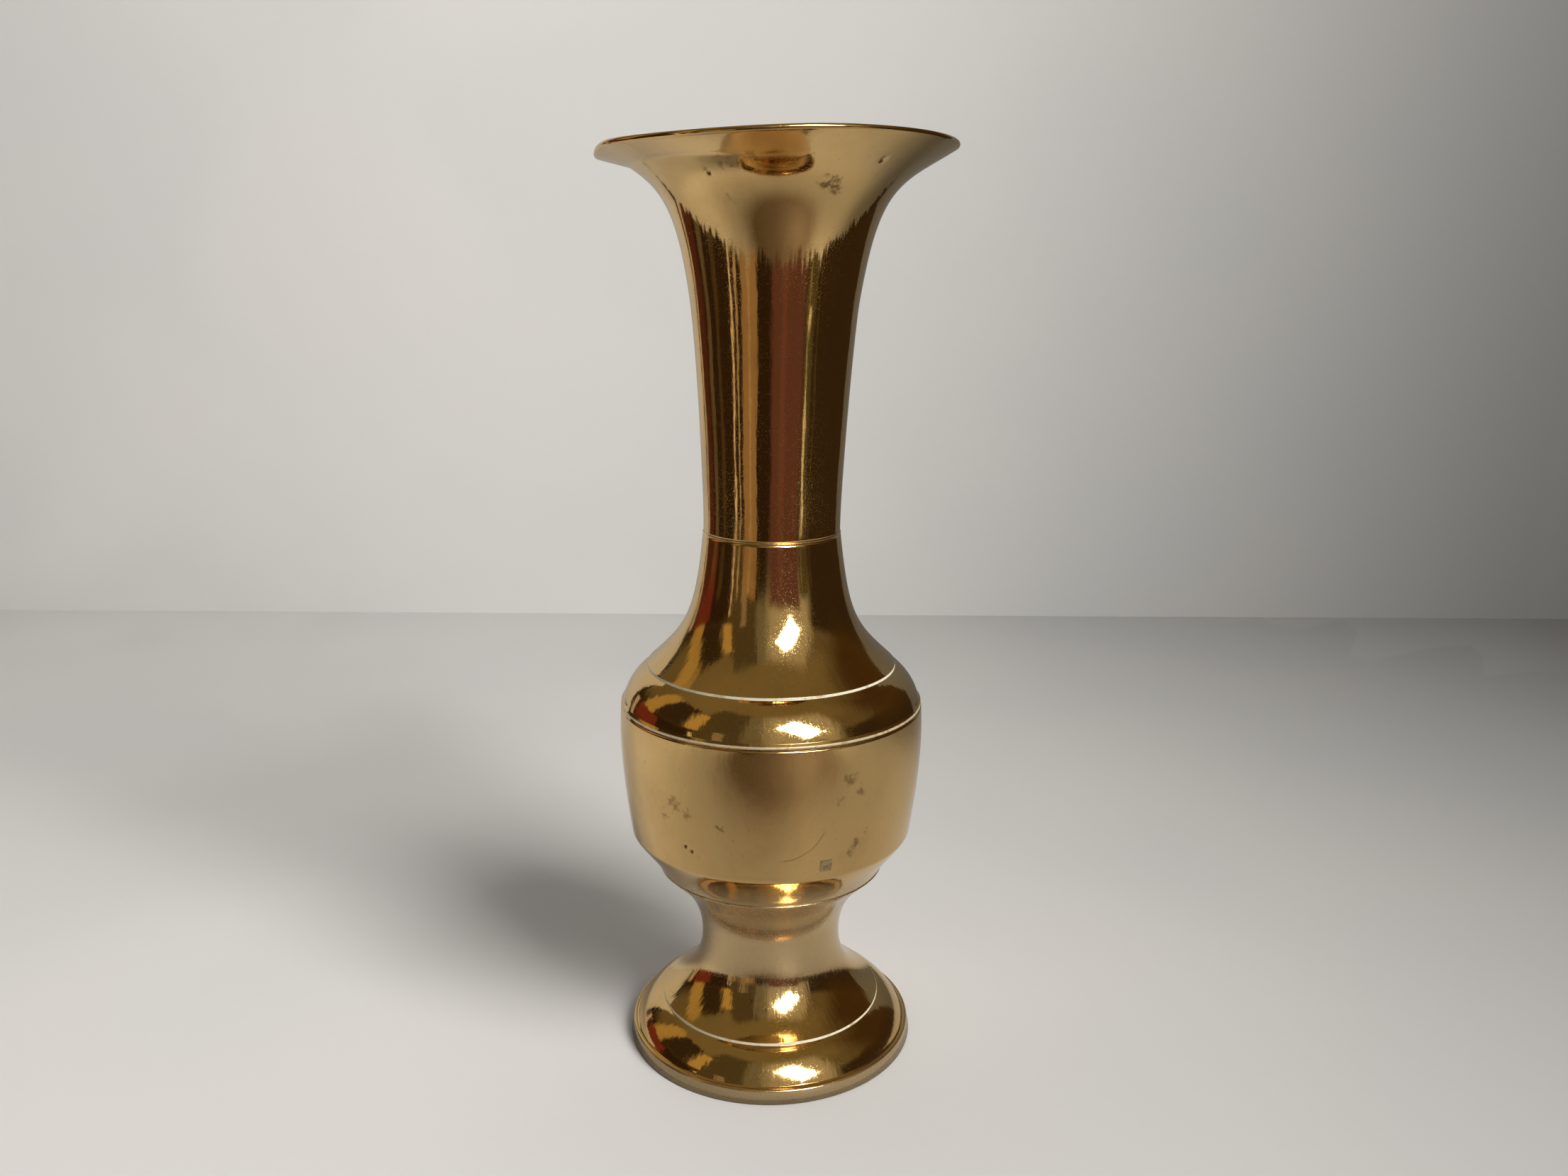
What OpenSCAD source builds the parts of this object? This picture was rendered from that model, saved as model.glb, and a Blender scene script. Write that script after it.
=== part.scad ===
// Brass baluster vase: four turned castings brazed into one standing vessel.
// Millimetres. +Z is up. The origin is the centre of the foot's underside.

/* [Overall size] */

// height from the foot's underside to the lip
height = 300; // [270:1:360]

// radius of the mouth at the outside of the lip
mouth_radius = 55.6; // [48:0.1:62]

// outside radius of the neck at its seam
neck_radius = 22.4; // [20:0.1:26]

// largest radius of the bowl
belly_radius = 51; // [46:0.1:56]

// outside radius of the stem at its waist
stem_radius = 24; // [20:0.1:27]

// radius of the foot where it stands
foot_radius = 49.6; // [46:0.1:56]

// thickness of the turned walls
wall = 2; // [1.5:0.1:2.5]

/* [Levels] */

// level of the neck seam
neck_seam = 179.5; // [172:0.5:190]

// level of the turned step on the shoulder
shoulder_step = 135.4; // [132:0.1:139]

// level of the belly seam
belly_seam = 122; // [119:0.1:124]

// level of the crease at the bottom of the bowl's side
bowl_crease = 77.3; // [75:0.1:82]

// level of the seam between the bowl and the foot
stem_seam = 64; // [62:0.1:66]

// level of the stem's waist
stem_waist = 36.5; // [33:0.1:40]

// level of the turned step on the foot
foot_step = 14.6; // [12:0.1:17]

// height of the foot's outer rim
foot_rim = 4.2; // [3.4:0.1:6]

/* [Turned details] */

// radius of the rounded edge of the lip
lip_edge = 0.8; // [0.5:0.1:1]

// angle of the flare at the lip, up from level
lip_angle = 31.5; // [20:0.5:45]

// height of the turned steps on the shoulder and the foot
step_height = 0.8; // [0.4:0.1:1.5]

// radius of the round bands below both steps
band_round = 18.7; // [15:0.1:24]

// width of the casting plug
plug_width = 4.4; // [3:0.1:8]

// level of the casting plug's centre
plug_level = 82; // [82:0.5:100]

// direction of the casting plug about the axis, in degrees
plug_direction = -68.6; // [-180:0.1:180]

/* [Joints] */

// thickness of the brazing metal in a seam
braze = 0.5; // [0.3:0.1:0.8]

// depth of the neck's spigot
neck_spigot = 6; // [4:0.5:8]

// wall of the spigots
spigot_wall = 1.5; // [1:0.1:2]

/* [Hidden] */

BRASS = [0.72, 0.56, 0.29];
BRAZE = [0.80, 0.70, 0.45];

ROUND = 96;
CURVE_STEPS = 18;
ARC_STEPS = 12;

// Outline points are [radius, level], and every outline runs up the outside of its casting.
function curve(a, b, c, d, n = CURVE_STEPS) = [
    for (i = [0:n]) let (t = i / n, u = 1 - t)
        u * u * u * a + 3 * u * u * t * b + 3 * u * t * t * c + t * t * t * d
];

function arc(centre, r, from, to, n = ARC_STEPS) = [
    for (i = [0:n]) let (t = from + (to - from) * i / n)
        centre + r * [cos(t), sin(t)]
];

// A convex arc of radius r from a up to b.
function bulge(a, b, r) =
    let (
        half = (b - a) / 2,
        along = half / norm(half),
        centre = a + half + sqrt(r * r - half * half) * [-along[1], along[0]],
        from = a - centre,
        to = b - centre
    )
    arc(centre, r, atan2(from[1], from[0]), atan2(to[1], to[0]));

function reversed(path) = [for (i = [len(path) - 1:-1:0]) path[i]];

// The same path moved by t towards its left, which is into the metal of an outline that runs upwards.
function beside(path, t) = [
    for (i = [0:len(path) - 1])
        let (along = path[min(i + 1, len(path) - 1)] - path[max(i - 1, 0)])
        path[i] + t * [-along[1], along[0]] / norm(along)
];

module turned(outline) {
    rotate_extrude($fn = ROUND) polygon(outline);
}

module ring(inner, outer, low, high) {
    turned([[inner, low], [outer, low], [outer, high], [inner, high]]);
}

// Upper neck and flare, from the neck seam up to the lip.
neck_low = neck_seam + braze / 2;
neck_flare = [neck_radius + 4.4, height - 46.5];
lip_centre = [mouth_radius - lip_edge, height - lip_edge];
lip_along = [cos(lip_angle), sin(lip_angle)];
flare_end = lip_centre + lip_edge * [lip_along[1], -lip_along[0]];
neck_outside = concat(
    curve([neck_radius, neck_low], [neck_radius - 0.3, neck_seam + 10], neck_flare - [2, 13], neck_flare),
    curve(neck_flare, neck_flare + [5.2, 34.4], flare_end - 20.5 * lip_along, flare_end)
);
neck_socket = neck_radius - 1.7;
spigot_end = neck_low - neck_spigot;
neck_bore = neck_socket - spigot_wall;

module trumpet_neck() {
    inside = [for (p = beside(neck_outside, wall)) if (p[1] > neck_low + 3 && p[0] < mouth_radius - 4) p];
    color(BRASS) turned(concat(
        neck_outside,
        arc(lip_centre, lip_edge, lip_angle - 90, lip_angle + 90),
        reversed(inside),
        [[neck_bore, neck_low], [neck_bore, spigot_end], [neck_socket, spigot_end], [neck_socket, neck_low]]
    ));
}

// Round band, step, concave shoulder and lower neck, from the belly seam up to the neck seam.
shoulder_high = neck_seam - braze / 2;
shoulder_edge = belly_radius - 0.6;
step_radius = belly_radius - 9.6;
step_low = shoulder_step - step_height;
band_outside = bulge([shoulder_edge - 0.8, belly_seam + 1.6], [step_radius, step_low], band_round);
shoulder_outside = curve(
    [step_radius, shoulder_step], [step_radius - 13.2, shoulder_step + 12],
    [neck_radius + 3.2, neck_seam - 28.2], [neck_radius + 0.15, shoulder_high]
);
spigot_top = belly_seam + 2.6;
belly_socket = belly_radius - 3.4;

module shoulder() {
    skin = beside(concat(band_outside, shoulder_outside), wall);
    inside = [for (p = skin) if (p[1] > spigot_top && p[0] < belly_socket && p[1] < spigot_end) p];
    color(BRASS) turned(concat(
        [[shoulder_edge, belly_seam], [shoulder_edge, belly_seam + 0.7]],
        band_outside,
        shoulder_outside,
        [[neck_socket, shoulder_high], [neck_socket, spigot_end]],
        reversed(inside),
        [[belly_socket, spigot_top], [belly_socket, belly_seam]]
    ));
}

// Bowl, from its closed floor up to the belly seam.
bowl_low = stem_seam + braze / 2;
bowl_high = belly_seam - braze;
bowl_floor = bowl_low + wall;
stem_seam_radius = belly_radius - 12.4;
register_radius = stem_seam_radius - 5.6;
register_low = bowl_low - 3;
crease = [belly_radius - 3.25, bowl_crease];
under_high = crease - [1, 1.4];
side_low = crease + [0.2, 1.8];
bowl_under = curve(
    [stem_seam_radius, bowl_low], [stem_seam_radius + 2, bowl_low + 4], under_high - [2.9, 4.1], under_high, 8
);
bowl_side = curve(
    side_low, [belly_radius - 0.7, bowl_crease + 18],
    [belly_radius + 0.55, belly_seam - 13], [belly_radius - 0.5, bowl_high]
);
bowl_outside = concat(bowl_under, curve(under_high, crease, crease, side_low, 5), bowl_side);
bowl_bore = belly_socket - spigot_wall;

module bowl_shell() {
    skin = beside(concat(bowl_under, bowl_side), wall);
    inside = [for (p = skin) if (p[1] > bowl_floor + 1 && p[1] < belly_seam - 6) p];
    turned(concat(
        [
            [0, bowl_low], [register_radius - wall, bowl_low], [register_radius - wall, register_low],
            [register_radius, register_low], [register_radius, bowl_low]
        ],
        bowl_outside,
        [
            [belly_socket, bowl_high], [belly_socket, spigot_top],
            [bowl_bore, spigot_top], [bowl_bore, belly_seam - 5]
        ],
        reversed(inside),
        [[inside[0][0] - 1.5, bowl_floor], [0, bowl_floor]]
    ));
}

module plug_block() {
    rotate([0, 0, plug_direction])
        translate([belly_radius - 8, -plug_width / 2, plug_level - plug_width / 2])
            cube([10, plug_width, plug_width]);
}

module bowl() {
    color(BRASS) difference() {
        bowl_shell();
        plug_block();
    }
}

module casting_plug() {
    color(BRAZE) intersection() {
        bowl_shell();
        plug_block();
    }
}

// Bell foot, stem and cove, open underneath.
foot_high = stem_seam - braze / 2;
foot_wall = wall + 0.4;
foot_bore = foot_radius - 3;
rim_bead = 0.9;
rim_bead_centre = [foot_radius - 0.7 - rim_bead, foot_rim - 0.5];
foot_step_radius = foot_radius - 11.6;
foot_band = bulge([foot_radius - 2.5, foot_rim + 0.6], [foot_step_radius, foot_step - step_height], band_round);
stem_flare = curve(
    [foot_step_radius, foot_step], [foot_step_radius - 7.6, foot_step + 4.4],
    [stem_radius, stem_waist - 11], [stem_radius, stem_waist]
);
cove = curve(
    [stem_radius, stem_waist], [stem_radius + 0.1, stem_waist + 17],
    [stem_seam_radius - 3.4, foot_high - 4.1], [stem_seam_radius - 0.2, foot_high]
);

module foot() {
    outside = concat(foot_band, stem_flare, [for (i = [1:len(cove) - 1]) cove[i]]);
    inside = [
        for (p = beside(outside, foot_wall))
            if (p[1] > foot_rim && (p[1] < stem_waist || (p[1] < register_low - 1 && p[0] < register_radius))) p
    ];
    color(BRASS) turned(concat(
        [[foot_bore, 0], [foot_radius, 0]],
        arc(rim_bead_centre, rim_bead, 0, 120, 6),
        outside,
        [[register_radius, foot_high], [register_radius, register_low]],
        reversed(inside),
        [[foot_bore - 0.6, foot_rim - 1]]
    ));
}

module neck_braze() {
    color(BRAZE) ring(neck_socket, neck_radius + 0.25, shoulder_high, neck_low);
}

module belly_braze() {
    color(BRAZE) ring(belly_socket, shoulder_edge - 0.4, bowl_high, belly_seam);
}

module stem_braze() {
    color(BRAZE) ring(register_radius, stem_seam_radius + 0.15, foot_high, bowl_low);
}

trumpet_neck();
shoulder();
bowl();
foot();
neck_braze();
belly_braze();
stem_braze();
casting_plug();
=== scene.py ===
import math

import bpy
import numpy as np
from mathutils import Matrix, Vector, noise


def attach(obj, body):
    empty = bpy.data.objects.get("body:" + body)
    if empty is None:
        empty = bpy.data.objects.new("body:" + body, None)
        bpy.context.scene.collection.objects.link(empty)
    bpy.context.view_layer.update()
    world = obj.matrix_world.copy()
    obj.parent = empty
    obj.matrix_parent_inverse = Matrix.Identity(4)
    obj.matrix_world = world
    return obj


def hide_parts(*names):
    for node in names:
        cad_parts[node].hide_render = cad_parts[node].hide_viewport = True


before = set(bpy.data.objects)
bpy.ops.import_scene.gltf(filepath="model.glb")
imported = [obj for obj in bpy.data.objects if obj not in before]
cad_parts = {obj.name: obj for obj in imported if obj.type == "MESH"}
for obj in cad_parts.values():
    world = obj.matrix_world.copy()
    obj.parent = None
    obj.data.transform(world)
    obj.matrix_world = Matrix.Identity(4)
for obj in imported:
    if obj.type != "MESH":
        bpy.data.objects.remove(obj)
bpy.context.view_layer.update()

# Outlines and places are in millimetres, and MM turns them into Blender's metres.
# Node graphs, lights and the camera are in metres.
MM = 0.001

HEIGHT = 300.0
MOUTH_R = 55.6
NECK_R = 22.4
BELLY_R = 51.0
STEM_R = 24.0
FOOT_R = 49.6
WALL = 2.0
NECK_SEAM = 179.5
SHOULDER_STEP = 135.4
BELLY_SEAM = 122.0
CREASE = 77.3
STEM_SEAM = 64.0
WAIST = 36.5
FOOT_STEP = 14.6
FOOT_RIM = 4.2
STEP = 0.8
BAND_ROUND = 18.7
LIP = 0.8
LIP_ANGLE = math.radians(31.5)
BRAZE = 0.5
NECK_SPIGOT = 6
SPIGOT_WALL = 1.5
PLUG_WIDTH = 4.4
PLUG_LEVEL = 82.0
PLUG_AZIMUTH = -68.6

SEGMENTS = 360
# Radius of the small arcs that ease sharp edges.
EASE = 0.13
# The neck leans to the right, and the mouth's brim is bent down at the left.
LEAN = math.tan(math.radians(0.58))
DROOP = 2.1
DROOP_PEAK = 1.7
BEND_START = 45.2
BEND_WIDTH = 10.4

# How far hand polishing moved each casting's wall in and out, in mm.
NECK_WAVES = 0.09
SHOULDER_WAVES = 0.07
BOWL_WAVES = 0.08
FOOT_WAVES = 0.05

# Azimuth, level, radius of the wall there, radius of the dent, and size of its dark mark.
NECK_PITS = ((-118.3, 288.7, 38.9, 0.75, 0.85), (-47.7, 292.4, 43.8, 0.7, 0.8))
BOWL_PITS = ((-122.5, 86.3, 49.1, 0.6, 0.6), (-119.8, 85.1, 49.1, 0.6, 0.7), (-116.6, 83.9, 49.1, 0.6, 0.45))
NECK_PIT_DEPTH = 0.35
BOWL_PIT_DEPTH = 0.3


# ---------------------------------------------------------------- outlines
# Points are [radius, level], and each outline runs up the outside of its casting.
def curve(a, b, c, d, n):
    t = np.linspace(0, 1, n + 1)[:, None]
    u = 1 - t
    a, b, c, d = (np.array(p, float) for p in (a, b, c, d))
    return u**3 * a + 3 * u * u * t * b + 3 * u * t * t * c + t**3 * d


def arc(centre, r, start, end, n):
    t = np.linspace(start, end, n + 1)
    return np.array(centre) + r * np.stack([np.cos(t), np.sin(t)], 1)


def bulge(a, b, r, n):
    a, b = np.array(a, float), np.array(b, float)
    half = (b - a) / 2
    along = half / np.linalg.norm(half)
    centre = a + half + math.sqrt(r * r - half @ half) * np.array([-along[1], along[0]])
    p, q = a - centre, b - centre
    return arc(centre, r, math.atan2(p[1], p[0]), math.atan2(q[1], q[0]), n)


def beside(path, t):
    along = np.gradient(path, axis=0)
    along /= np.linalg.norm(along, axis=1)[:, None]
    return path + t * np.stack([-along[:, 1], along[:, 0]], 1)


def join(*parts):
    """One path from several, without repeated points."""
    path = [p for part in parts for p in np.atleast_2d(np.array(part, float))]
    kept = [path[0]]
    for p in path[1:]:
        if np.linalg.norm(p - kept[-1]) > 0.02:
            kept.append(p)
    return np.array(kept)


def eased(path, radius):
    """Rounds each sharp corner between an outline's ends with a small arc, so that the edge shines."""
    out = [path[0]]
    for i in range(1, len(path) - 1):
        p = path[i]
        a, b = path[i - 1] - p, path[i + 1] - p
        la, lb = np.linalg.norm(a), np.linalg.norm(b)
        turn = math.pi - math.acos(max(-1, min(1, a @ b / la / lb)))
        if turn < math.radians(16):
            out.append(p)
            continue
        cut = min(radius * math.tan(turn / 2), 0.42 * la, 0.42 * lb)
        start, end = p + a / la * cut, p + b / lb * cut
        for t in np.linspace(0, 1, 5):
            out.append((1 - t) ** 2 * start + 2 * t * (1 - t) * p + t * t * end)
    out.append(path[-1])
    return np.array(out)


# Trumpet neck.
neck_low = NECK_SEAM + BRAZE / 2
flare = np.array([NECK_R + 4.4, HEIGHT - 46.5])
lip_centre = np.array([MOUTH_R - LIP, HEIGHT - LIP])
lip_along = np.array([math.cos(LIP_ANGLE), math.sin(LIP_ANGLE)])
flare_end = lip_centre + LIP * np.array([lip_along[1], -lip_along[0]])
neck_outer = join(
    curve([NECK_R, neck_low], [NECK_R - 0.3, NECK_SEAM + 10], flare - [2, 13], flare, 60),
    curve(flare, flare + [5.2, 34.4], flare_end - 20.5 * lip_along, flare_end, 80),
)
lip = arc(lip_centre, LIP, LIP_ANGLE - math.pi / 2, LIP_ANGLE + math.pi / 2, 12)
neck_inner = np.array([
    p for p in beside(neck_outer, WALL)
    if p[1] > neck_low + 3 and p[0] < MOUTH_R - 3
])[::-2]
neck_socket = NECK_R - 1.7
neck_bore = neck_socket - SPIGOT_WALL
spigot_end = neck_low - NECK_SPIGOT

# Shoulder.
shoulder_high = NECK_SEAM - BRAZE / 2
shoulder_edge = BELLY_R - 0.6
step_r = BELLY_R - 9.6
band = bulge([shoulder_edge - 0.8, BELLY_SEAM + 1.6], [step_r, SHOULDER_STEP - STEP], BAND_ROUND, 26)
slope = curve(
    [step_r, SHOULDER_STEP], [step_r - 13.2, SHOULDER_STEP + 12],
    [NECK_R + 3.2, NECK_SEAM - 28.2], [NECK_R + 0.15, shoulder_high], 80,
)
shoulder_outer = join([[shoulder_edge, BELLY_SEAM], [shoulder_edge, BELLY_SEAM + 0.7]], band, slope)
spigot_top = BELLY_SEAM + 2.6
belly_socket = BELLY_R - 3.4
shoulder_inner = np.array([
    p for p in beside(join(band, slope), WALL)
    if p[1] > spigot_top and p[0] < belly_socket and p[1] < spigot_end
])[::-2]

# Bowl.
bowl_low = STEM_SEAM + BRAZE / 2
bowl_high = BELLY_SEAM - BRAZE
stem_seam_r = BELLY_R - 12.4
register_r = stem_seam_r - 5.6
register_low = bowl_low - 3
crease = np.array([BELLY_R - 3.25, CREASE])
under_high = crease - [1, 1.4]
side_low = crease + [0.2, 1.8]
bowl_outer = join(
    curve([stem_seam_r, bowl_low], [stem_seam_r + 2, bowl_low + 4], under_high - [2.9, 4.1], under_high, 26),
    curve(under_high, crease, crease, side_low, 12),
    curve(
        side_low, [BELLY_R - 0.7, CREASE + 18],
        [BELLY_R + 0.55, BELLY_SEAM - 13], [BELLY_R - 0.5, bowl_high], 70,
    ),
)
bowl_floor = bowl_low + WALL
bowl_bore = belly_socket - SPIGOT_WALL
bowl_inner = np.array([p for p in beside(bowl_outer, WALL) if bowl_floor + 1 < p[1] < BELLY_SEAM - 6])[::-2]

# Foot.
foot_high = STEM_SEAM - BRAZE / 2
bead_centre = [FOOT_R - 1.6, FOOT_RIM - 0.5]
foot_step_r = FOOT_R - 11.6
foot_band = bulge([FOOT_R - 2.5, FOOT_RIM + 0.6], [foot_step_r, FOOT_STEP - STEP], BAND_ROUND, 26)
foot_flare = curve(
    [foot_step_r, FOOT_STEP], [foot_step_r - 7.6, FOOT_STEP + 4.4],
    [STEM_R, WAIST - 11], [STEM_R, WAIST], 60,
)
cove = curve(
    [STEM_R, WAIST], [STEM_R + 0.1, WAIST + 17],
    [stem_seam_r - 3.4, foot_high - 4.1], [stem_seam_r - 0.2, foot_high], 50,
)
foot_outer = join([[FOOT_R, 0]], arc(bead_centre, 0.9, 0, math.radians(120), 8), foot_band, foot_flare, cove)
foot_inner = np.array([
    p for p in beside(join(foot_band, foot_flare, cove), WALL + 0.4)
    if p[1] > FOOT_RIM and (p[1] < WAIST or (p[1] < register_low - 1 and p[0] < register_r))
])[::-2]


# ---------------------------------------------------------------- meshes
# A point nearer the axis than this is on it.
ON_AXIS = 1e-6


def ramp(x, low, high):
    """0 at low, 1 at high, and smooth between."""
    t = np.clip((x - low) / (high - low), 0, 1)
    return t * t * (3 - 2 * t)


def between_levels(points, rise_from, rise_to, fall_from, fall_to):
    """1 between two levels and 0 beyond them, with a smooth rise and fall."""
    level = points[:, 2]
    return ramp(level, rise_from, rise_to) * (1 - ramp(level, fall_from, fall_to))


def wobble(points, across, along, seed):
    """Smooth noise over a turned surface.
    Its wavelength is across, in degrees round the axis, and along, in mm up it."""
    k = 57.3 / across  # 57.3 degrees are one radian.
    azimuth = np.arctan2(points[:, 1], points[:, 0])
    where = np.stack([np.cos(azimuth) * k, np.sin(azimuth) * k, points[:, 2] / along + seed], 1)
    return np.array([noise.noise(Vector(w)) for w in where])


def polished(points, amount, seed):
    """The low waves that hand polishing leaves on a turned surface, as a radial move in mm."""
    low = wobble(points, 34, 26, seed)
    fine = wobble(points, 9, 17, seed + 40)
    return amount * (low + 0.3 * fine)


def dent(points, azimuth, level, radius, depth):
    """The depth at each point of a small pit whose centre is at an azimuth and a level."""
    a = math.radians(azimuth)
    r = np.maximum(np.hypot(points[:, 0], points[:, 1]), ON_AXIS)
    side = r * np.arcsin(np.clip((points[:, 1] * math.cos(a) - points[:, 0] * math.sin(a)) / r, -1, 1))
    near = (points[:, 0] * math.cos(a) + points[:, 1] * math.sin(a)) > 0
    return np.where(near, depth * np.exp(-(side**2 + (points[:, 2] - level) ** 2) / radius**2), 0)


def turned(name, outline, node, materials, inside_from=None, reshape=None):
    """A solid of revolution from a closed outline, which stands in for a CAD node.
    Faces from outline point inside_from on take the second material."""
    path = np.array(outline)
    rows = len(path)
    angle = np.arange(SEGMENTS) / SEGMENTS * 2 * math.pi
    ring = np.stack([np.cos(angle), np.sin(angle)], 1)
    on_axis = path[:, 0] < ON_AXIS
    verts, first = [], []
    for r, z in path:
        first.append(len(verts))
        if r < ON_AXIS:
            verts.append((0, 0, z))
        else:
            verts.extend((r * c, r * s, z) for c, s in ring)
    faces, inner = [], []
    for i in range(rows):
        j = (i + 1) % rows
        if on_axis[i] and on_axis[j]:
            continue
        for k in range(SEGMENTS):
            m = (k + 1) % SEGMENTS
            if on_axis[i]:
                faces.append((first[i], first[j] + m, first[j] + k))
            elif on_axis[j]:
                faces.append((first[i] + k, first[i] + m, first[j]))
            else:
                faces.append((first[i] + k, first[i] + m, first[j] + m, first[j] + k))
            inner.append(inside_from is not None and i >= inside_from)
    points = np.array(verts, float)
    if reshape is not None:
        points = reshape(points)
    mesh = bpy.data.meshes.new(name)
    mesh.from_pydata((points * MM).tolist(), [], faces)
    mesh.polygons.foreach_set("use_smooth", np.ones(len(faces), bool))
    for material in materials:
        mesh.materials.append(material)
    mesh.polygons.foreach_set("material_index", np.array(inner, np.int32))
    mesh.validate()
    mesh.update()
    piece = bpy.data.objects.new(name, mesh)
    bpy.context.scene.collection.objects.link(piece)
    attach(piece, "root")
    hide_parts(node)


def radial(points, move):
    """Moves each point away from the axis."""
    r = np.maximum(np.hypot(points[:, 0], points[:, 1]), ON_AXIS)
    points[:, 0] += points[:, 0] / r * move
    points[:, 1] += points[:, 1] / r * move
    return points


def reshape_neck(points):
    """Polished waves, two pits, the bent brim at the left of the mouth, and the neck's slight lean."""
    r = np.hypot(points[:, 0], points[:, 1])
    free = between_levels(points, neck_low + 1, neck_low + 12, HEIGHT - 8, HEIGHT - 1)
    points = radial(points, free * polished(points, NECK_WAVES, 3))
    points[:, 2] += sum(dent(points, a, z, size, NECK_PIT_DEPTH) for a, z, _, size, _ in NECK_PITS)
    turn = np.abs(np.degrees(np.arctan2(points[:, 1], -points[:, 0])))
    droop = DROOP * (1 - ramp(turn, 40, 115)) + DROOP_PEAK * (1 - ramp(turn, 0, 30))
    brim = np.clip((r - BEND_START) / BEND_WIDTH, 0, None) * ramp(r, 43.5, 48)
    points[:, 2] -= droop * brim
    points[:, 2] += 0.2 * ramp(r, 40, 55) * np.sin(3 * np.radians(turn) + 0.6)
    points[:, 0] += LEAN * np.clip(points[:, 2] - neck_low, 0, None)
    return points


def reshape_shoulder(points):
    free = between_levels(points, SHOULDER_STEP + 1, SHOULDER_STEP + 12, shoulder_high - 8, shoulder_high - 1)
    return radial(points, free * polished(points, SHOULDER_WAVES, 9))


def reshape_bowl(points):
    """Polished waves, and the three pits on the outside only."""
    free = between_levels(points, CREASE + 2, CREASE + 12, bowl_high - 8, bowl_high - 1)
    points = radial(points, free * polished(points, BOWL_WAVES, 15))
    outside = ramp(np.hypot(points[:, 0], points[:, 1]), 47, 47.6)
    pits = sum(dent(points, a, z, size, BOWL_PIT_DEPTH) for a, z, _, size, _ in BOWL_PITS)
    return radial(points, -outside * pits)


def reshape_foot(points):
    free = between_levels(points, FOOT_STEP + 1, FOOT_STEP + 8, foot_high - 6, foot_high - 1)
    return radial(points, free * polished(points, FOOT_WAVES, 21))


# ---------------------------------------------------------------- node graphs
class Graph:
    """A short way to write a node tree: values and sockets are joined as they are passed."""

    def __init__(self, tree):
        self.tree = tree
        tree.nodes.clear()

    def put(self, socket, value):
        if isinstance(value, bpy.types.NodeSocket):
            self.tree.links.new(value, socket)
        elif value is not None:
            socket.default_value = value

    def node(self, kind, inputs=(), **settings):
        made = self.tree.nodes.new(kind)
        for key, value in settings.items():
            setattr(made, key, value)
        for key, value in dict(inputs).items():
            self.put(made.inputs[key], value)
        return made

    def math(self, operation, a, b=None):
        return self.node("ShaderNodeMath", {0: a, 1: b}, operation=operation).outputs[0]

    def vector(self, operation, a, b=None, out=0):
        return self.node("ShaderNodeVectorMath", {0: a, 1: b}, operation=operation).outputs[out]

    def smooth(self, value, low, high, start=0.0, end=1.0):
        inputs = {"Value": value, "From Min": low, "From Max": high, "To Min": start, "To Max": end}
        return self.node("ShaderNodeMapRange", inputs, interpolation_type="SMOOTHSTEP").outputs[0]

    def mix(self, factor, a, b):
        made = self.node("ShaderNodeMix", data_type="RGBA")
        self.put(made.inputs[0], factor)
        self.put(made.inputs[6], a)
        self.put(made.inputs[7], b)
        return made.outputs[2]

    def noise(self, where, scale, detail=2.0, rough=0.5):
        inputs = {"Vector": where, "Scale": scale, "Detail": detail, "Roughness": rough}
        return self.node("ShaderNodeTexNoise", inputs).outputs[0]

    def bump(self, height, distance, normal=None, invert=False):
        inputs = {"Strength": 1.0, "Distance": distance, "Height": height, "Normal": normal}
        return self.node("ShaderNodeBump", inputs, invert=invert).outputs[0]


def material(name):
    made = bpy.data.materials.new(name)
    made.use_nodes = True
    graph = Graph(made.node_tree)
    shader = graph.node("ShaderNodeBsdfPrincipled")
    output = graph.node("ShaderNodeOutputMaterial")
    graph.put(output.inputs[0], shader.outputs[0])
    return made, graph, shader


def on_surface(azimuth, level, radius):
    """Where a place on a casting's wall is, in metres. The neck's places lean with it."""
    a = math.radians(azimuth)
    x = radius * math.cos(a) + LEAN * max(level - neck_low, 0)
    return (x * MM, radius * math.sin(a) * MM, level * MM)


def spot(graph, where, centre, size, edge):
    """1 inside a ball round the centre and 0 outside it. The ball's radius and soft edge are in mm."""
    distance = graph.vector("DISTANCE", where, centre, out=1)
    return graph.smooth(distance, (size + edge) * MM, max(size - edge, 0) * MM)


BRASS = (0.79, 0.535, 0.225, 1)
TARNISH = (0.42, 0.255, 0.095, 1)
STAIN = (0.20, 0.11, 0.045, 1)
PIT = (0.05, 0.03, 0.015, 1)
DULL_BRASS = (0.66, 0.50, 0.29, 1)
RIM_BRASS = (0.44, 0.33, 0.19, 1)
# Dust darkened with painted shade, for the hollow under the bowl.
DUST_AND_SHADE = (0.20, 0.17, 0.11, 1)
# Pale matt colour of the turned steps' faces and the belly seam's edge.
PALE_STEP_COLOUR = (0.70, 0.69, 0.58, 1)

STAINS = (
    # Azimuth, level, radius of the wall there, size and strength.
    (-64.9, 285.4, 36.5, 3.0, 1.0), (-68.5, 286.8, 37.2, 2.2, 0.9), (-61.5, 284.4, 35.8, 2.0, 0.9),
    (-112, 282.0, 33.5, 1.3, 0.6), (-108, 292.0, 42.5, 3.2, 0.45), (-99, 293.5, 44.5, 2.6, 0.4),
    (-56.4, 87.6, 49.2, 2.0, 0.7), (-53.0, 90.5, 49.6, 1.5, 0.6), (-58.6, 84.6, 48.8, 1.5, 0.6),
    (-57.0, 106, 50.8, 1.9, 0.6), (-60.5, 111, 51.0, 2.1, 0.6), (-64.0, 104, 50.8, 1.4, 0.5),
    (-126, 101, 50.4, 2.0, 0.6), (-131, 96, 50.0, 1.8, 0.6), (-121, 98, 50.2, 1.4, 0.5),
    (-108, 95.5, 50.0, 0.8, 0.8), (-101, 24.5, 29.0, 1.5, 0.7), (-94, 22.5, 30.5, 1.2, 0.6),
)


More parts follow.
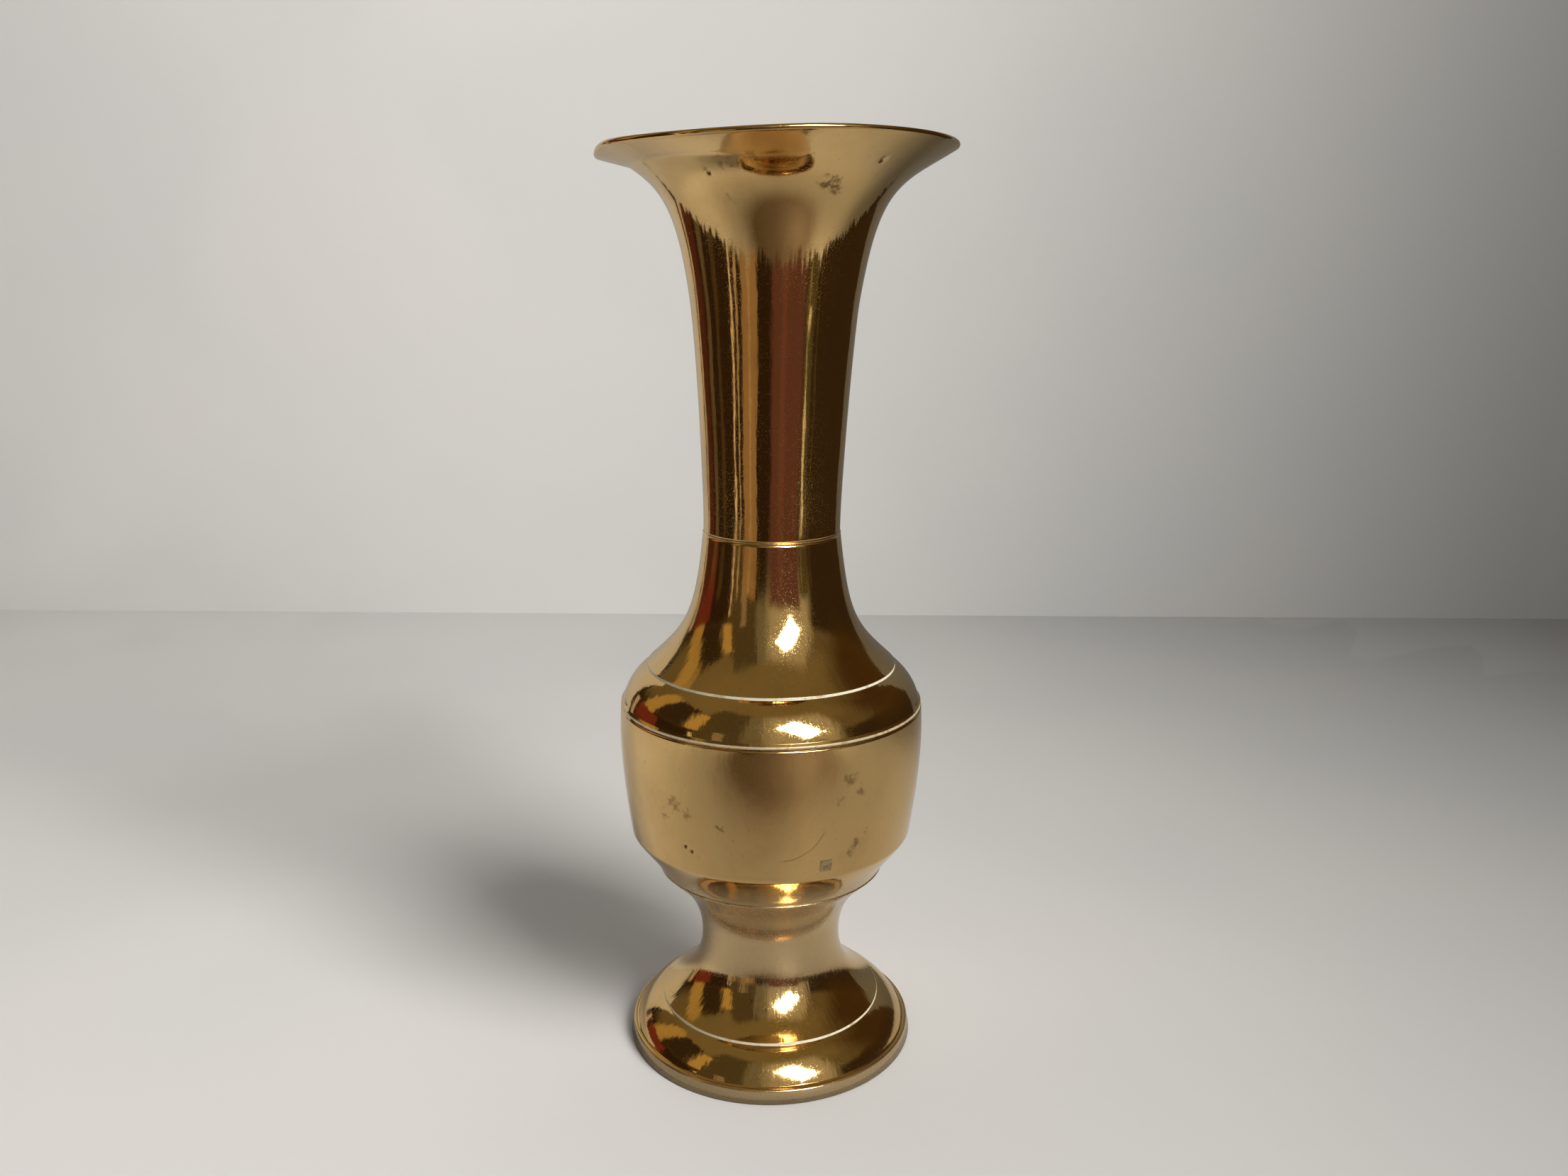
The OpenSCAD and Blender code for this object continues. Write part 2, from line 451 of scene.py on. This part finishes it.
def polished_brass():
    """The outside of the castings: mirror-like brass with what use has left on it, pale matt bands at the
    turned steps, and painted shade under the bowl.
    """
    made, g, shader = material("polished_brass")
    where = g.node("ShaderNodeTexCoord").outputs["Object"]
    split = g.node("ShaderNodeSeparateXYZ", {0: where}).outputs
    x_squared = g.math("MULTIPLY", split[0], split[0])
    y_squared = g.math("MULTIPLY", split[1], split[1])
    radius = g.math("SQRT", g.math("ADD", x_squared, y_squared))
    level = split[2]
    turning = g.node("ShaderNodeCombineXYZ", {
        0: g.math("DIVIDE", split[0], radius),
        1: g.math("DIVIDE", split[1], radius),
        2: g.math("MULTIPLY", level, 9.0),
    }).outputs[0]

    def between(low, high, edge):
        rise = g.smooth(level, (low - edge) * MM, (low + edge) * MM)
        return g.math("MULTIPLY", rise, g.smooth(level, (high + edge) * MM, (high - edge) * MM))

    # Soft clouds of tarnish, small brown stains, and specks.
    cloud = g.noise(where, 38.0, 4.0, 0.6)
    blotch = g.noise(where, 330.0, 3.0, 0.65)
    speck = g.noise(where, 900.0, 1.0)
    clouded = g.smooth(cloud, 0.42, 0.72, 0.0, 0.30)
    specks = g.math("MULTIPLY", g.smooth(speck, 0.70, 0.76), 0.40)
    ragged = g.smooth(blotch, 0.40, 0.60)
    stir = g.node("ShaderNodeTexNoise", {"Vector": where, "Scale": 420.0, "Detail": 2.0}).outputs["Color"]
    offset = g.vector("SUBTRACT", stir, (0.5, 0.5, 0.5))
    stirred = g.vector("ADD", where, g.vector("MULTIPLY", offset, (0.006, 0.006, 0.006)))
    stains = None
    for azimuth, height, r, size, strength in STAINS:
        one = g.math("MULTIPLY", spot(g, stirred, on_surface(azimuth, height, r), size, 1.0), strength)
        stains = one if stains is None else g.math("MAXIMUM", stains, one)
    stained = g.math("MULTIPLY", g.math("MULTIPLY", stains, ragged), 0.9)
    tarnish = g.math("MAXIMUM", g.math("MAXIMUM", clouded, specks), stained)

    pits = None
    for azimuth, height, r, _, mark in NECK_PITS + BOWL_PITS:
        one = spot(g, where, on_surface(azimuth, height, r), mark, 0.35)
        pits = one if pits is None else g.math("MAXIMUM", pits, one)

    # A hairline crack on the bowl: a thin arc of a circle about a point outside the wall.
    bend = g.vector("DISTANCE", where, on_surface(-86, 101, 62), out=1)
    path = g.math("MULTIPLY", g.math("ADD", blotch, 25.6), 0.0008)
    line = g.smooth(g.math("ABSOLUTE", g.math("SUBTRACT", bend, path)), 0.00021, 0.00004)
    crack = g.math("MULTIPLY", line, spot(g, where, on_surface(-77, 89, 49.5), 8.2, 1.4))

    # The stem is duller, the foot's bottom edge is darker and rougher, and the hollow under the bowl is dust
    # with painted shade over it.
    # The faces of the turned steps and a line along the belly seam are pale and matt.
    stem = g.math("MULTIPLY", between(27, 67, 5), 0.75)
    rim = g.math("MULTIPLY", g.smooth(level, (FOOT_RIM + 0.5) * MM, (FOOT_RIM - 0.4) * MM), 0.85)
    # Painted shade under the bowl, with its dust: the hollow is made darker and less metallic.
    dust_and_shade = g.math("MULTIPLY", between(48, 72, 6), 0.42)
    on_shoulder = between(SHOULDER_STEP - STEP, SHOULDER_STEP, 0.12)
    on_foot = between(FOOT_STEP - STEP, FOOT_STEP, 0.12)
    steps = g.math("MAXIMUM", on_shoulder, on_foot)
    seam_edge = g.math("MULTIPLY", between(BELLY_SEAM + 0.1, BELLY_SEAM + 0.9, 0.15), 0.55)
    # Pale, matt faces at the turned steps and along the belly seam, ragged at the edges.
    pale_steps = g.math("MULTIPLY", g.math("MAXIMUM", steps, seam_edge), g.smooth(blotch, 0.28, 0.50, 0.45, 0.92))
    matt = g.math("MAXIMUM", pale_steps, g.math("MAXIMUM", dust_and_shade, g.math("MULTIPLY", rim, 0.25)))

    colour = g.mix(tarnish, BRASS, TARNISH)
    colour = g.mix(g.math("MULTIPLY", stained, 0.8), colour, STAIN)
    colour = g.mix(stem, colour, DULL_BRASS)
    colour = g.mix(rim, colour, RIM_BRASS)
    colour = g.mix(dust_and_shade, colour, DUST_AND_SHADE)
    colour = g.mix(g.math("MULTIPLY", crack, 0.5), colour, PIT)
    colour = g.mix(pits, colour, PIT)
    g.put(shader.inputs["Base Color"], g.mix(pale_steps, colour, PALE_STEP_COLOUR))
    g.put(shader.inputs["Metallic"], g.math("SUBTRACT", 1.0, matt))

    # Mostly mirror, with fine hazy scratches that spread a glow round each highlight.
    haze = g.smooth(g.noise(where, 60.0, 3.0), 0.3, 0.8, 0.0, 0.03)
    scratch = g.smooth(g.noise(where, 2600.0, 2.0), 0.55, 0.68, 0.0, 0.15)
    rough = g.math("ADD", g.math("ADD", haze, scratch), g.math("MULTIPLY", tarnish, 0.20))
    rough = g.math("ADD", rough, g.math("MULTIPLY", g.math("MAXIMUM", stem, rim), 0.10))
    rough = g.math("ADD", rough, 0.045)
    marks = g.math("MAXIMUM", g.math("MULTIPLY", pits, 0.6), g.math("MULTIPLY", pale_steps, 0.65))
    g.put(shader.inputs["Roughness"], g.math("MAXIMUM", rough, marks))

    # Ripples that run up the surface, fine lathe lines that run round it, and the grain of the stains.
    ripple = g.math("MULTIPLY", g.noise(turning, 17.0, 2.0, 0.5), g.smooth(level, 0.136, 0.160, 1.0, 0.35))
    lathe = g.node("ShaderNodeCombineXYZ", {2: level, 0: radius}).outputs[0]
    lines = g.noise(lathe, 2300.0, 2.0, 0.7)
    dip = g.math("ADD", pits, g.math("MULTIPLY", stained, 0.2))
    rippled = g.bump(ripple, 0.00006)
    lined = g.bump(lines, 0.000002, rippled)
    g.put(shader.inputs["Normal"], g.bump(dip, 0.0002, lined, invert=True))
    return made


def inside_brass():
    """The rough, browned metal inside the castings."""
    made, g, shader = material("unpolished_brass")
    where = g.node("ShaderNodeTexCoord").outputs["Object"]
    cloud = g.noise(where, 70.0, 6.0, 0.65)
    grain = g.noise(where, 1400.0, 4.0, 0.6)
    colour = g.mix(g.smooth(cloud, 0.35, 0.7), (0.50, 0.33, 0.14, 1), (0.26, 0.165, 0.075, 1))
    g.put(shader.inputs["Base Color"], colour)
    shader.inputs["Metallic"].default_value = 1.0
    g.put(shader.inputs["Roughness"], g.smooth(grain, 0.3, 0.7, 0.34, 0.5))
    g.put(shader.inputs["Normal"], g.bump(grain, 0.00004))
    return made


def filler_brass(name, clean, tarnished, smoothest, roughest):
    """The metal of the seams and of the plug, mottled between two colours and two roughnesses."""
    made, g, shader = material(name)
    where = g.node("ShaderNodeTexCoord").outputs["Object"]
    cloud = g.noise(where, 420.0, 3.0, 0.6)
    g.put(shader.inputs["Base Color"], g.mix(g.smooth(cloud, 0.4, 0.7), clean, tarnished))
    shader.inputs["Metallic"].default_value = 1.0
    g.put(shader.inputs["Roughness"], g.smooth(cloud, 0.3, 0.7, smoothest, roughest))
    grain = g.noise(where, 1900.0, 3.0, 0.6)
    g.put(shader.inputs["Normal"], g.bump(grain, 0.00001))
    return made


brass, dull = polished_brass(), inside_brass()
seam = filler_brass("brazed_seam", (0.83, 0.66, 0.38, 1), (0.5, 0.34, 0.16, 1), 0.18, 0.32)
plug_metal = filler_brass("plug_brass", (0.56, 0.42, 0.22, 1), (0.34, 0.24, 0.11, 1), 0.12, 0.26)

turned(
    "neck_casting",
    join(eased(join(neck_outer, lip, neck_inner), EASE),
         [[neck_bore, neck_low], [neck_bore, spigot_end]],
         [[neck_socket, spigot_end], [neck_socket, neck_low]]),
    "trumpet_neck", (brass, dull), inside_from=len(neck_outer) + len(lip), reshape=reshape_neck,
)
shoulder_soft = eased(shoulder_outer, EASE)
turned(
    "shoulder_casting",
    join(shoulder_soft,
         [[neck_socket, shoulder_high], [neck_socket, spigot_end]], shoulder_inner,
         [[belly_socket, spigot_top], [belly_socket, BELLY_SEAM]]),
    "shoulder", (brass, dull), inside_from=len(shoulder_soft) - 1, reshape=reshape_shoulder,
)
# The bowl's underside, with the ring below it that centres it in the foot.
bowl_base = [
    [0, bowl_low], [register_r - WALL, bowl_low], [register_r - WALL, register_low],
    [register_r, register_low], [register_r, bowl_low],
]
turned(
    "bowl_casting",
    join(bowl_base, bowl_outer,
         [[belly_socket, bowl_high], [belly_socket, spigot_top], [bowl_bore, spigot_top]],
         bowl_inner, [[bowl_inner[-1][0] - 1.5, bowl_floor], [0, bowl_floor]]),
    "bowl", (brass, dull), inside_from=len(bowl_outer) + len(bowl_base), reshape=reshape_bowl,
)
foot_soft = eased(foot_outer, EASE)
turned(
    "foot_casting",
    join(foot_soft, [[register_r, foot_high], [register_r, register_low]], foot_inner,
         [[FOOT_R - 3.6, FOOT_RIM - 1], [FOOT_R - 3, 0]]),
    "foot", (brass, dull), inside_from=len(foot_soft) - 1, reshape=reshape_foot,
)


def seam_ring(name, node, inner, outer, low, high, proud):
    """A ring of brazing metal whose outer face is a shallow bead."""
    face = curve([outer, low], [outer + proud, low + 0.05], [outer + proud, high - 0.05], [outer, high], 8)
    turned(name, join(face, [[inner, high], [inner, low]]), node, (seam,))


seam_ring("neck_seam_ring", "neck_braze", neck_socket, NECK_R - 0.1, shoulder_high, neck_low, 0.42)
seam_ring("belly_seam_ring", "belly_braze", belly_socket, shoulder_edge - 0.5, bowl_high, BELLY_SEAM, 0.1)
seam_ring("stem_seam_ring", "stem_braze", register_r, stem_seam_r - 0.15, foot_high, bowl_low, 0.35)


def square_plug():
    """The square plug in the bowl's wall, a little proud of it, with eased edges."""
    count = 14
    proud, eased_down, eased_width, depth = 0.06, 0.10, 0.3, 1.2
    u = np.linspace(-PLUG_WIDTH / 2, PLUG_WIDTH / 2, count)
    edge = np.minimum(PLUG_WIDTH / 2 - np.abs(u), eased_width) / eased_width
    verts, faces = [], []
    for i, z in enumerate(u):
        wall_r = np.interp(PLUG_LEVEL + z, bowl_outer[:, 1], bowl_outer[:, 0])
        for j, s in enumerate(u):
            r = wall_r + proud - eased_down * (1 - min(edge[i], edge[j])) ** 2
            a = math.radians(PLUG_AZIMUTH) + s / r
            verts.append((r * math.cos(a), r * math.sin(a), PLUG_LEVEL + z))
    for i in range(count - 1):
        for j in range(count - 1):
            faces.append((i * count + j, i * count + j + 1, (i + 1) * count + j + 1, (i + 1) * count + j))
    last = count - 1
    border = list(range(count))
    border += [i * count + last for i in range(1, count)]
    border += [last * count + j for j in range(last - 1, -1, -1)]
    border += [i * count for i in range(last - 1, 0, -1)]
    back = len(verts)
    for b in border:
        x, y, z = verts[b]
        r = math.hypot(x, y)
        verts.append((x * (r - depth) / r, y * (r - depth) / r, z))
    n = len(border)
    faces += [(border[(k + 1) % n], border[k], back + k, back + (k + 1) % n) for k in range(n)]
    faces.append(tuple(back + k for k in range(n))[::-1])
    mesh = bpy.data.meshes.new("square_plug")
    mesh.from_pydata([[c * MM for c in v] for v in verts], [], faces)
    mesh.polygons.foreach_set("use_smooth", np.array([len(f) == 4 for f in faces], bool))
    mesh.materials.append(plug_metal)
    mesh.update()
    piece = bpy.data.objects.new("square_plug", mesh)
    bpy.context.scene.collection.objects.link(piece)
    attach(piece, "root")
    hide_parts("casting_plug")


square_plug()


# ---------------------------------------------------------------- stage, light and camera
def sheet(name, corners, shader, camera=True, glossy=True):
    """A flat stage surface, for the camera or for the metal to mirror. The two have sheets of their own."""
    mesh = bpy.data.meshes.new(name)
    mesh.from_pydata([[c * MM for c in p] for p in corners], [], [tuple(range(len(corners)))])
    mesh.materials.append(shader)
    made = bpy.data.objects.new(name, mesh)
    bpy.context.scene.collection.objects.link(made)
    made.visible_camera = camera
    made.visible_glossy = glossy
    made.visible_diffuse = camera
    made.visible_shadow = camera


PALE = (0.62, 0.60, 0.57, 1)


def pale(name, across, low, high, painted_shadow):
    """A pale matt surface with painted shade: its colour darkens along a direction.
    The kind with painted shadow is also darkened in front of the vase. The other kind fades into the
    background far away, where it glows as painted light."""
    made, g, shader = material(name)
    where = g.node("ShaderNodeTexCoord").outputs["Object"]
    tone = g.smooth(g.noise(where, 6.0, 1.0), 0.3, 0.7)
    colour = g.mix(tone, (0.76, 0.745, 0.725, 1), (0.725, 0.72, 0.71, 1))
    along = g.vector("DOT_PRODUCT", where, across, out=1)
    # Painted shade: the colour darkens along the direction across.
    colour = g.mix(g.smooth(along, low, high), colour, (0.12, 0.12, 0.117, 1))
    if painted_shadow:
        # Painted shadow in front of the vase, on the sheet that the metal mirrors: a broad dark patch with a
        # darker core.
        off = g.vector("DISTANCE", where, (0.07, -0.52, 0.0), out=1)
        colour = g.mix(g.smooth(off, 0.74, 0.38, 0.0, 0.60), colour, (0.03, 0.022, 0.015, 1))
        colour = g.mix(g.smooth(off, 0.44, 0.26, 0.0, 0.94), colour, (0.060, 0.036, 0.020, 1))
    else:
        # Painted light: far away the sheet turns black and glows an even pale instead, to meet the
        # background.
        far = g.smooth(g.vector("LENGTH", where, out=1), 1.0, 2.0)
        colour = g.mix(far, colour, (0, 0, 0, 1))
        shader.inputs["Emission Color"].default_value = PALE
        g.put(shader.inputs["Emission Strength"], far)
    g.put(shader.inputs["Base Color"], colour)
    shader.inputs["Roughness"].default_value = 0.6
    return made


WALL_Y = 570
FAR = 4000
# The camera's floor lies just below the foot, and its backdrop just behind the sheet that the metal mirrors.
FLOOR_Z = -0.3
BACK_Y = WALL_Y + 0.5
pale_stage = pale("stage_white", (1.0, 0.0, 0.0), -0.30, 0.75, False)
sheet(
    "floor",
    [(-FAR, -FAR, FLOOR_Z), (FAR, -FAR, FLOOR_Z), (FAR, WALL_Y + 1, FLOOR_Z), (-FAR, WALL_Y + 1, FLOOR_Z)],
    pale_stage, glossy=False,
)
sheet(
    "backdrop",
    [(-FAR, BACK_Y, -1), (FAR, BACK_Y, -1), (FAR, BACK_Y, FAR), (-FAR, BACK_Y, FAR)],
    pale_stage, glossy=False,
)


def ragged_oval(half_x, half_y, back):
    """An oval floor sheet with an uneven edge, cut straight at the back."""
    outline = []
    for degrees in np.arange(0, 360, 1.5):
        x, y = math.cos(math.radians(degrees)), math.sin(math.radians(degrees))
        ragged = 0.19 * noise.noise(Vector((x * 24, y * 24, 5)))
        uneven = ragged + 0.05 * noise.noise(Vector((x * 2, y * 2, 9)))
        outline.append((half_x * x * (1 + uneven), min(half_y * y * (1 + uneven), back), 0))
    return outline


# The sheet that the metal mirrors, with painted shade across it and painted shadow in front of the vase.
near_white = pale("near_white", (0.77, 0.64, 0.0), -0.1, 0.55, True)
sheet("floor_near", ragged_oval(720, 660, WALL_Y), near_white, camera=False)
sheet(
    "backdrop_near",
    [(-640, WALL_Y, 0), (600, WALL_Y, 0), (600, WALL_Y, 700), (-640, WALL_Y, 700)],
    near_white, camera=False,
)

# What the polished metal mirrors beyond the sheets: patches of direction, later ones over earlier.
# Azimuth starts in front of the vase and grows to the right. Angles and soft edges are in degrees.
ROOM = (
    # Left, right, low, high, edge and colour.
    (-180, 180, 20, 62, 16, (0.135, 0.104, 0.052)),
    (-180, 180, 45, 95, 18, (0.185, 0.145, 0.072)),
    (-62, -20, 0, 62, 8, (0.078, 0.060, 0.030)),
    (45, 150, -20, 22, 9, (0.036, 0.022, 0.011)),
    (90, 165, 12, 58, 34, (0.062, 0.034, 0.011)),
    (-22, 3, 8, 60, 8, (0.17, 0.15, 0.105)),
    (-4, 56, 2, 60, 14, (0.38, 0.34, 0.25)),
    (-3, 43, -40, 11, 5, (0.115, 0.048, 0.042)),
    (10, 18, -40, 6, 5, (0.15, 0.060, 0.052)),
    (-46, -24, -30, 7, 2, (0.30, 0.19, 0.10)),
    (-36, -33, -30, 6, 1, (0.42, 0.29, 0.17)),
    (-44, -36, 5, 22, 2, (0.26, 0.20, 0.13)),
    (-70, -58, 18, 46, 3, (0.46, 0.31, 0.10)),
    (-102, -74, 17, 48, 3, (0.035, 0.022, 0.011)),
    (-118, -103, 6, 46, 4, (0.40, 0.27, 0.09)),
    (-122, -96, -4, 12, 3, (0.15, 0.030, 0.018)),
    (-124, -112, -30, -2, 3, (0.075, 0.022, 0.013)),
    (-107, -99, -30, -3, 2, (0.115, 0.085, 0.058)),
    (-88, -82, -30, 3, 2, (0.068, 0.045, 0.022)),
    (-63, -60.5, -30, 12, 0.8, (0.70, 0.56, 0.42)),
    (-55, -52, -30, 6, 0.8, (0.42, 0.31, 0.20)),
    (-23, -21, -30, 9, 0.8, (0.012, 0.010, 0.008)),
    (44, 57, -30, 6, 3, (0.075, 0.060, 0.030)),
    (47.4, 48.6, -30, 4, 0.8, (0.26, 0.22, 0.13)),
    (47.5, 51, -15, -12.5, 1.2, (0.75, 0.66, 0.50)),
    (62, 64, -30, 3, 1.0, (0.075, 0.050, 0.026)),
    (-139, -131, -30, 25, 2, (0.015, 0.012, 0.010)),
    (-131, -126, -30, 10, 2, (0.48, 0.38, 0.28)),
)
ROOM_BASE = (0.027, 0.0145, 0.0065, 1)
# The dim light that reaches the matt surfaces from all round.
AMBIENT = (0.06, 0.06, 0.062, 1)
# Degrees in a radian.
DEGREES = 57.2958


def room():
    """The background: plain to the camera, dim to matt surfaces, and patched to mirrors."""
    world = bpy.data.worlds.new("studio")
    bpy.context.scene.world = world
    world.use_nodes = True
    g = Graph(world.node_tree)
    direction = g.node("ShaderNodeTexCoord").outputs["Generated"]
    stir = g.node("ShaderNodeTexNoise", {"Vector": direction, "Scale": 7.0, "Detail": 3.0}).outputs["Color"]
    jag = g.node("ShaderNodeTexNoise", {"Vector": direction, "Scale": 42.0, "Detail": 2.0}).outputs["Color"]
    moved = direction
    for drift, amount in ((stir, 0.07), (jag, 0.035)):
        offset = g.vector("SUBTRACT", drift, (0.5, 0.5, 0.5))
        moved = g.vector("ADD", moved, g.vector("MULTIPLY", offset, (amount,) * 3))
    split = g.node("ShaderNodeSeparateXYZ", {0: g.vector("NORMALIZE", moved)}).outputs
    azimuth = g.math("MULTIPLY", g.math("ARCTAN2", split[0], g.math("MULTIPLY", split[1], -1.0)), DEGREES)
    elevation = g.math("MULTIPLY", g.math("ARCSINE", split[2]), DEGREES)

    def within(angle, start, end, edge):
        rise = g.smooth(angle, start - edge / 2, start + edge / 2)
        return g.math("MULTIPLY", rise, g.smooth(angle, end + edge / 2, end - edge / 2))

    colour = ROOM_BASE
    for left, right, low, high, edge, patch in ROOM:
        mask = within(elevation, low, high, edge)
        if right - left < 360:
            mask = g.math("MULTIPLY", mask, within(azimuth, left, right, edge))
        colour = g.mix(mask, colour, (*patch, 1))
    path = g.node("ShaderNodeLightPath").outputs
    plain = g.mix(path["Is Camera Ray"], AMBIENT, PALE)
    seen = g.mix(path["Is Glossy Ray"], plain, colour)
    ground = g.node("ShaderNodeBackground", {"Color": seen, "Strength": 1.0}).outputs[0]
    g.put(g.node("ShaderNodeOutputWorld").inputs[0], ground)
    world.cycles.sampling_method = "NONE"


room()

# The lights aim at this height on the vase's axis.
AIM_HEIGHT = 0.13


def soft_light(name, azimuth, elevation, roll, distance, width, height, radiance, colour, mirrored):
    """A rectangular light that faces the middle of the vase from a direction. Its radiance sets its power.
    It is either mirrored by metal or lights matt surfaces, not both."""
    a, e = math.radians(azimuth), math.radians(elevation)
    towards = Vector((math.sin(a) * math.cos(e), -math.cos(a) * math.cos(e), math.sin(e)))
    data = bpy.data.lights.new(name, "AREA")
    data.shape = "RECTANGLE"
    data.size, data.size_y = width, height
    data.energy = radiance * math.pi * width * height
    data.color = colour
    made = bpy.data.objects.new(name, data)
    bpy.context.scene.collection.objects.link(made)
    aim = towards.to_track_quat("Z", "Y").to_matrix().to_4x4() @ Matrix.Rotation(math.radians(roll), 4, "Z")
    made.matrix_world = Matrix.Translation(towards * distance + Vector((0, 0, AIM_HEIGHT))) @ aim
    made.visible_glossy = mirrored
    made.visible_diffuse = not mirrored


# The metal mirrors the window. The softer daylight, from further to the right, lights the matt surfaces.
soft_light("window", 25, 33, 35, 1.6, 0.50, 0.84, 15.0, (1.0, 0.965, 0.90), mirrored=True)
soft_light("daylight", 47, 37, 0, 1.7, 0.8, 0.8, 21.0, (1.0, 0.98, 0.94), mirrored=False)

CAMERA_PLACE = (0.0041, -0.409, 0.2593)
CAMERA_DOWN = 13.644
CAMERA_ROLL = 0.323
camera_data = bpy.data.cameras.new("camera")
camera_data.sensor_fit = "HORIZONTAL"
camera_data.sensor_width = 36.0
camera_data.lens = 29.129
camera_data.clip_start = 0.01
camera = bpy.data.objects.new("camera", camera_data)
bpy.context.scene.collection.objects.link(camera)
camera.matrix_world = (
    Matrix.Translation(CAMERA_PLACE)
    @ Matrix.Rotation(math.radians(90 - CAMERA_DOWN), 4, "X")
    @ Matrix.Rotation(math.radians(CAMERA_ROLL), 4, "Z")
)
bpy.context.scene.camera = camera

bpy.context.scene.view_settings.view_transform = "Standard"
